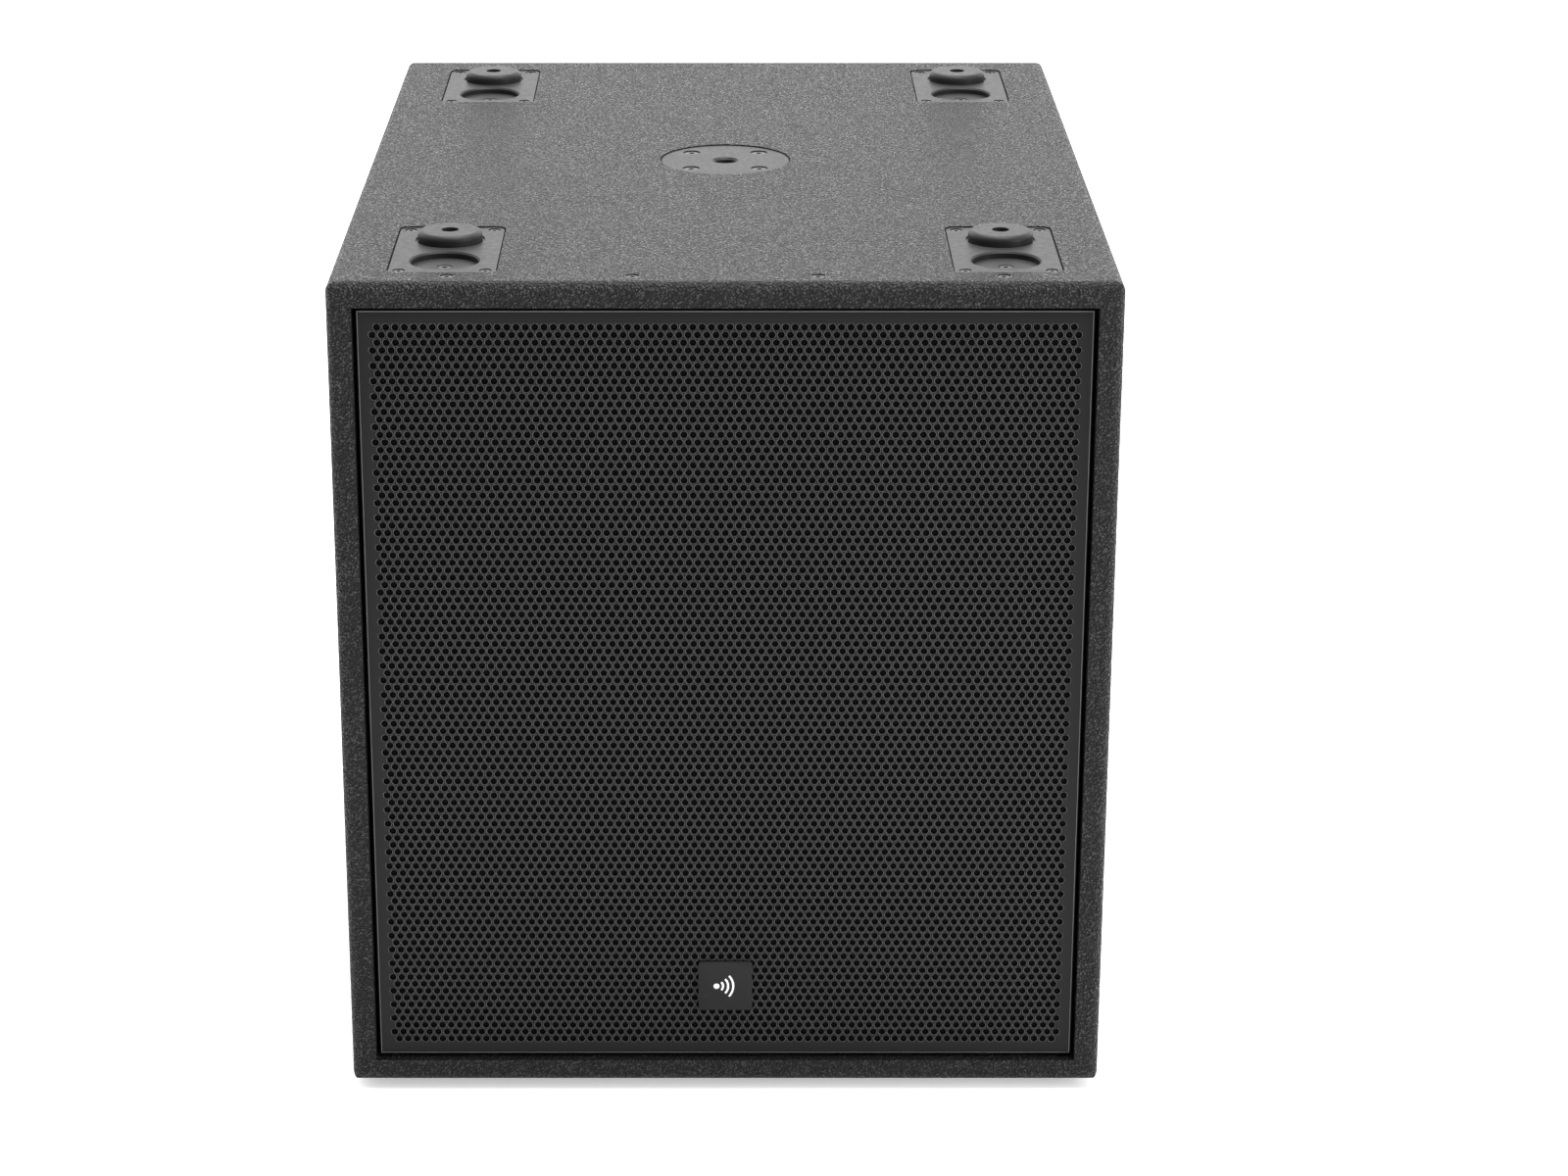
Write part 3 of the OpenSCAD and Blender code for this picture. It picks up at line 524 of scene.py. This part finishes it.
clean(piece("badge_body", bv, bf, "badge_black", replaces=("badge_plate",)), 50)
o = clean(piece("badge_mark", V, F, "badge_black"), 50)
o.data.materials[0] = MATS["badge_silver"]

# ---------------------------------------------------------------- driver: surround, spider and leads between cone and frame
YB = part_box("front_baffle")[0].y
blo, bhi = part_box("driver_basket")
ZW, XW = (blo.z + bhi.z) / 2, (blo.x + bhi.x) / 2


def drv(x, y, z):                 # driver frame in mm (z towards the front) to the row frame
    return (XW + x / 1000, YB - z / 1000, ZW + y / 1000)


def sectors(stem, upper, t, slot, node, n=24, sub=5):
    """A ring cut into n equal wedges. Each carries the profile along its own radius, and two neighbours agree along
    their shared edge.
    """
    for s in range(n):
        a0 = 2 * math.pi * s / n
        V, F = [], []
        cols = sub + 1
        m = len(upper)
        for k in range(cols):
            a = a0 + 2 * math.pi / n * k / sub
            for r, z in upper:
                V.append(drv(r * math.cos(a), r * math.sin(a), z + t / 2))
            for r, z in upper:
                V.append(drv(r * math.cos(a), r * math.sin(a), z - t / 2))
        row = 2 * m
        for k in range(sub):
            for j in range(m - 1):
                p = k * row + j; q = (k + 1) * row + j
                F.append((p, q, q + 1, p + 1))
                F.append((p + m, p + m + 1, q + m + 1, q + m))
            for j in (0, m - 1):
                F.append((k * row + j, k * row + j + m, (k + 1) * row + j + m, (k + 1) * row + j))
        for k in (0, sub):
            for j in range(m - 1):
                F.append((k * row + j, k * row + j + 1, k * row + j + 1 + m, k * row + j + m))
        o = clean(piece(f"{stem}_{s + 1:02d}", V, F, slot, body=None, replaces=(node,)), 60)
        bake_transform(o)


def roll(r):
    u = (r - 178) / 21
    return 8.4 + 1.7 * u + 5 * abs(math.sin(2 * math.pi * u))


prof = [(174.2, 8.1), (176, 8.1)] + [(178 + 21 * i / 32, roll(178 + 21 * i / 32)) for i in range(33)] + [(204, 10.4), (211.3, 10.4)]
prof = [(r, max(z, 8.1)) for r, z in prof]
sectors("surround", prof, 0.8, "surround_cloth", "driver_surround")
wave = [(50.3, -72.4), (54, -72.4)] + [(56 + 58 * i / 60, -72.4 + 3 * math.sin(2 * math.pi * (58 * i / 60) / 11.6)) for i in range(61)] + [(118, -72.6), (122.8, -72.6)]
sectors("spider", wave, 0.6, "spider_cloth", "driver_spider")

lead = [(10, -136, -88), (10, -136, -80), (16, -144, -70), (27, -153, -62), (38, -154, -55), (46, -146, -50), (48, -134, -47), (46, -121, -44), (42, -109, -42), (38, -99, -40), (36, -93, -38.4)]


def tube(points, r, n=10, twist=0.0, strands=0):
    pts = [Vector(p) for p in points]
    fine = []
    for i in range(len(pts) - 1):                      # Catmull-Rom through the route's points
        p0, p1, p2, p3 = pts[max(i - 1, 0)], pts[i], pts[i + 1], pts[min(i + 2, len(pts) - 1)]
        for k in range(6):
            t = k / 6
            fine.append(0.5 * ((2 * p1) + (p2 - p0) * t + (2 * p0 - 5 * p1 + 4 * p2 - p3) * t * t + (3 * p1 - p0 - 3 * p2 + p3) * t ** 3))
    fine.append(pts[-1])
    V, F = [], []
    side = None
    for i, p in enumerate(fine):
        d = (fine[min(i + 1, len(fine) - 1)] - fine[max(i - 1, 0)]).normalized()
        if side is None:
            side = d.orthogonal().normalized()
        side = (side - d * side.dot(d)).normalized()
        up = d.cross(side)
        for k in range(n):
            a = 2 * math.pi * k / n + twist * i
            rr = r * (1 + (0.12 * math.cos(strands * 2 * math.pi * k / n) if strands else 0))
            V.append(p + rr * (math.cos(a) * side + math.sin(a) * up))
    for i in range(len(fine) - 1):
        for k in range(n):
            k2 = (k + 1) % n
            F.append((i * n + k, i * n + k2, (i + 1) * n + k2, (i + 1) * n + k))
    F.append(tuple(reversed(range(n)))); F.append(tuple(range((len(fine) - 1) * n, len(fine) * n)))
    return V, F


for s, nm in ((-1, "left"), (1, "right")):
    V, F = tube([drv(s * x, y, z) for x, y, z in lead], 0.00115, n=12, twist=0.25, strands=3)
    o = clean(piece(f"tinsel_lead_{nm}", V, F, "braid_copper", body=None, replaces=("tinsel_leads",)), 70)
    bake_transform(o)

# internal cable, smoother than its CAD tube
route = [(-27, 332.5, 196.5), (-27, 322, 196.5), (-28, 311, 193), (-31, 300, 184), (-36, 289, 172), (-43, 277, 157), (-51, 263, 141), (-59, 247, 125), (-66, 229, 110), (-72, 210, 97), (-77, 190, 86),
         (-80, 170, 77), (-81, 152, 71), (-81, 139, 69.5), (-81, 126, 70), (-80, 108, 74), (-78, 90, 81), (-76, 72, 90), (-74, 56, 99), (-72, 42, 106), (-70, 28, 109), (-68, 12, 108), (-66, -8, 107.3),
         (-62, -32, 107.2), (-57, -56, 107.2), (-51, -80, 107.2), (-45, -104, 107.2), (-38, -128, 107.3), (-31, -150, 109), (-24, -170, 113.5), (-17, -188, 121), (-11, -203, 132), (-6, -215, 146),
         (-3, -224, 161), (-1, -230, 176), (0, -233.5, 190), (0, -234.5, 201), (0, -234.5, 210)]
V, F = tube([(x / 1000, y / 1000, z / 1000) for x, y, z in route], 0.0034, n=16)
clean(piece("internal_cable_smooth", V, F, "cable_rubber", replaces=("internal_cable",)), 60)

# ---------------------------------------------------------------- floor, light, camera
v = [(-8, -6, 0), (8, -6, 0), (8, 10, 0), (-8, 10, 0)]
me = bpy.data.meshes.new("studio_floor"); me.from_pydata(v, [], [(0, 1, 2, 3)])
floor = bpy.data.objects.new("studio_floor", me); scene.collection.objects.link(floor)
fm = Mat("floor_pale", (0.9, 0.9, 0.9), 0.9, spec=0.1)
fm.color(fm.noise(3, 2), [(0.3, (0.89, 0.89, 0.89)), (0.7, (0.91, 0.91, 0.91))])
fm.b.inputs["Emission Color"].default_value = (1, 1, 1, 1)
fm.b.inputs["Emission Strength"].default_value = 0.44
me.materials.append(fm.m)

FRONT = 0.10
w = bpy.data.worlds.new("studio"); scene.world = w; w.use_nodes = True
# a bright room above and behind, falling off towards the front; white where nothing stands in the view
wt = w.node_tree
bg = wt.nodes["Background"]
wc = wt.nodes.new("ShaderNodeTexCoord")
sep = wt.nodes.new("ShaderNodeSeparateXYZ")
wt.links.new(wc.outputs["Generated"], sep.inputs[0])


def wmath(op, a, b, clamp=False):
    n = wt.nodes.new("ShaderNodeMath"); n.operation = op; n.use_clamp = clamp
    for i, q in enumerate((a, b)):
        if isinstance(q, float):
            n.inputs[i].default_value = q
        else:
            wt.links.new(q, n.inputs[i])
    return n.outputs[0]


fall = wmath("ADD", wmath("MULTIPLY", sep.outputs["Z"], 0.55), wmath("MULTIPLY", sep.outputs["Y"], 0.85))
fall = wmath("MULTIPLY", wmath("ADD", fall, 0.12), 1.0, True)
lit = wmath("ADD", wmath("MULTIPLY", fall, 1.0 - FRONT), FRONT)
path = wt.nodes.new("ShaderNodeLightPath")
lit = wmath("MAXIMUM", lit, path.outputs["Is Camera Ray"])
comb = wt.nodes.new("ShaderNodeCombineColor")
for ch in ("Red", "Green", "Blue"):
    wt.links.new(lit, comb.inputs[ch])
wt.links.new(comb.outputs["Color"], bg.inputs["Color"])
bg.inputs["Strength"].default_value = 2.35


def area(name, loc, aim, size, power):
    d = bpy.data.lights.new(name, "AREA"); d.shape = "RECTANGLE"; d.size, d.size_y = size; d.energy = power
    o = bpy.data.objects.new(name, d); scene.collection.objects.link(o)
    o.location = loc
    o.rotation_euler = (Vector(aim) - Vector(loc)).to_track_quat("-Z", "Y").to_euler()
    return o


area("key_above", (0.2, 0.1, 2.6), (0, 0.0, 0.6), (2.4, 1.2), 80)
area("side_right", (2.4, -1.6, 1.0), (0.2, -0.3, 0.3), (0.8, 1.4), 42)

scene.view_settings.view_transform = "Standard"
cam = bpy.data.cameras.new("photo_camera")
cam.sensor_width = 36; cam.lens = 3861.9 / 1600 * 36
cam.shift_x = 0.0376
co = bpy.data.objects.new("photo_camera", cam); scene.collection.objects.link(co)
co.location = (-0.0002, -2.9168, 1.3141)
co.rotation_euler = (math.pi / 2 - 0.345, 0, 0)
scene.camera = co
